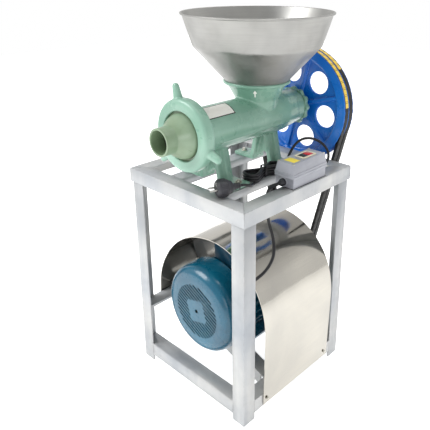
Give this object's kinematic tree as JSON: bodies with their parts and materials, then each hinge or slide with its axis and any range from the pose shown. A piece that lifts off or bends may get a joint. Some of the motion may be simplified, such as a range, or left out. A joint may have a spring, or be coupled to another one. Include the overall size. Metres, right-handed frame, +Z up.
{
  "type": "belt-driven screw grinder",
  "caption": "Belt-driven screw grinder on an angle-iron stand: cast body, steel hopper, large pulley, motor below under a sheet cover, push-button box and coiled lead.",
  "frame": {"origin": "on the floor under the middle of the footprint, cords left out", "axes": "+Z up; the outlet tube faces -Y and the large pulley is at +Y; +X is the side of the push-button box"},
  "size_m": [0.4228, 0.54, 0.997],
  "materials": {
    "green_casting": "semi-gloss green enamel over a sand casting",
    "olive_casting": "olive grey-green enamel, slightly dull",
    "stand_steel": "silver paint on hot-rolled angle, light grain and scuffs",
    "cover_steel": "bright polished stainless sheet, strong reflections",
    "hopper_steel": "spun stainless, satin rings",
    "bare_steel": "machined, lightly oiled",
    "zinc_steel": "zinc-plated fasteners",
    "pulley_blue": "bright blue enamel over a casting, satin",
    "motor_teal": "glossy teal enamel",
    "motor_dark": "dark teal enamel",
    "fan_plastic": "moulded black nylon",
    "belt_rubber": "fabric-wrapped V-belt, matt",
    "cord_rubber": "black flexible sheath, slight sheen",
    "switch_grey": "grey moulded case, fine texture",
    "plate_cream": "cream frame round the buttons",
    "button_black": "moulded black",
    "button_red": "moulded red",
    "plug_black": "moulded black, fine texture",
    "pin_nickel": "bright contact pins",
    "label_white": "printed foil, left blank",
    "label_yellow": "printed foil, left blank",
    "belt_mark": "yellow paint stripe on the belt",
    "gasket_black": "thin sealing strip"
  },
  "bodies": {
    "stand": {"top_rail_front": "stand_steel", "top_rail_right": "stand_steel", "top_rail_rear": "stand_steel", "top_rail_left": "stand_steel", "leg_front_left": "stand_steel", "leg_front_right": "stand_steel", "leg_rear_right": "stand_steel", "leg_rear_left": "stand_steel", "lower_rail_front": "stand_steel", "lower_rail_rear": "stand_steel", "lower_rail_right": "stand_steel", "motor_rail_left": "stand_steel", "cross_rail_left": "stand_steel", "cross_rail_right": "stand_steel", "slanted_rail_front": "stand_steel", "slanted_rail_rear": "stand_steel", "grinder_body": "green_casting", "bearing_cap": "green_casting", "grinding_plate": "bare_steel", "shaft_bearing": "bare_steel", "foot_bolt_1": "zinc_steel", "foot_bolt_2": "zinc_steel", "foot_bolt_3": "zinc_steel", "foot_bolt_4": "zinc_steel", "motor_bolt_1": "zinc_steel", "motor_bolt_2": "zinc_steel", "motor_bolt_3": "zinc_steel", "motor_bolt_4": "zinc_steel", "cover_screw_1": "zinc_steel", "cover_screw_2": "zinc_steel", "cover_screw_3": "zinc_steel", "cover_screw_4": "zinc_steel", "belt_inner": "belt_rubber", "belt_outer": "belt_rubber", "motor_body": "motor_teal", "fan_cowl": "motor_teal", "terminal_box": "motor_dark", "belt_cover": "cover_steel", "switch_base": "switch_grey", "switch_lid": "switch_grey", "gland_motor_side": "plug_black", "gland_mains_side": "plug_black", "mains_plug": "plug_black", "motor_cable": "cord_rubber", "mains_cord": "cord_rubber", "mains_hank": "cord_rubber", "mains_tail": "cord_rubber"},
    "main_rotor": {"main_shaft": "bare_steel", "auger": "bare_steel", "cutting_knife": "bare_steel", "big_pulley": "pulley_blue", "pulley_nut": "zinc_steel"},
    "motor_rotor": {"motor_shaft": "bare_steel", "motor_pulley": "bare_steel", "cooling_fan": "fan_plastic"},
    "outlet": {"outlet_cone": "olive_casting"},
    "nut": {"ring_nut": "green_casting"},
    "start_push": {"start_button": "button_black"},
    "stop_push": {"stop_button": "button_red"},
    "feed_hopper": {"hopper": "hopper_steel"}
  },
  "joints": [
    {"name": "main_shaft_spin", "type": "hinge", "parent": "stand", "child": "main_rotor", "pos_m": [0.012, 0, 0.734], "axis": [0, 1, 0], "continuous": true},
    {"name": "motor_shaft_spin", "type": "hinge", "parent": "stand", "child": "motor_rotor", "pos_m": [0.008, 0, 0.241], "axis": [0, 1, 0], "continuous": true},
    {"name": "ring_nut_turn", "type": "hinge", "parent": "outlet", "child": "nut", "pos_m": [0.012, 0, 0.734], "axis": [0, -1, 0], "range_deg": [0, 900]},
    {"name": "outlet_advance", "type": "slide", "parent": "stand", "child": "outlet", "axis": [0, -1, 0], "range_m": [0, 0.0126]},
    {"name": "hopper_lift", "type": "slide", "parent": "stand", "child": "feed_hopper", "axis": [0, 0, 1], "range_m": [0, 0.04]},
    {"name": "start_button_press", "type": "slide", "parent": "stand", "child": "start_push", "axis": [0, 0, -1], "range_m": [0, 0.003], "stiffness_N_per_m": 800, "springref_m": -0.001},
    {"name": "stop_button_press", "type": "slide", "parent": "stand", "child": "stop_push", "axis": [0, 0, -1], "range_m": [0, 0.003], "stiffness_N_per_m": 800, "springref_m": -0.001}
  ],
  "couplings": [
    {"joint": "motor_shaft_spin", "follows": "main_shaft_spin", "ratio": 3.5843},
    {"joint": "outlet_advance", "follows": "ring_nut_turn", "m_per_rad": 0.00079577}
  ]
}
